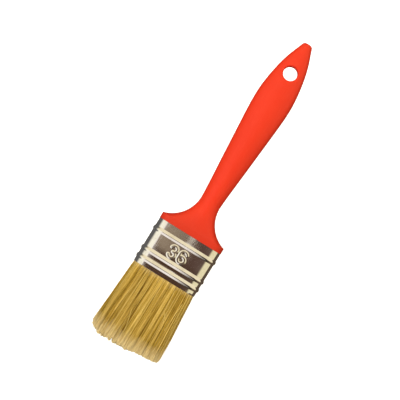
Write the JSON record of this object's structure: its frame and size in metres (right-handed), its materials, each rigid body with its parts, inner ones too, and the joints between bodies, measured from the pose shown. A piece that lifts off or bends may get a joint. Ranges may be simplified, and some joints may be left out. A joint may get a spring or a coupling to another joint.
{
  "type": "flat paint brush",
  "caption": "Flat paint brush: moulded plastic handle with a hang hole, beaded metal ferrule and flared bristles that bend both ways.",
  "frame": {"origin": "under the middle of the brush's bounding box, on the surface that it lies on", "axes": "+X along the brush towards the bristle tips, +Y across its width, +Z out of its front face, up when it lies on its back"},
  "size_m": [0.1806, 0.0394, 0.0114],
  "materials": {
    "handle_plastic": "satin red-orange moulding",
    "ferrule_tin": "bright tinplate",
    "tack_steel": "plain steel",
    "resin": "dark set resin",
    "filler_wood": "raw",
    "bristle": "tan filaments, paler at the tips"
  },
  "bodies": {
    "handle_body": {"handle": "handle_plastic", "ferrule": "ferrule_tin", "ferrule_tacks": "tack_steel", "setting_resin": "resin", "filler_strip": "filler_wood", "bristle_root_front": "bristle", "bristle_root_back": "bristle"},
    "bristle_head": {"bristle_front": "bristle", "bristle_back": "bristle"}
  },
  "joints": [
    {"name": "bristle_flex", "type": "hinge", "parent": "handle_body", "child": "bristle_head", "pos_m": [0.05135, 0, 0.0057], "axis": [0, 1, 0], "range_deg": [-40, 40], "stiffness_Nm_per_rad": 0.09}
  ]
}
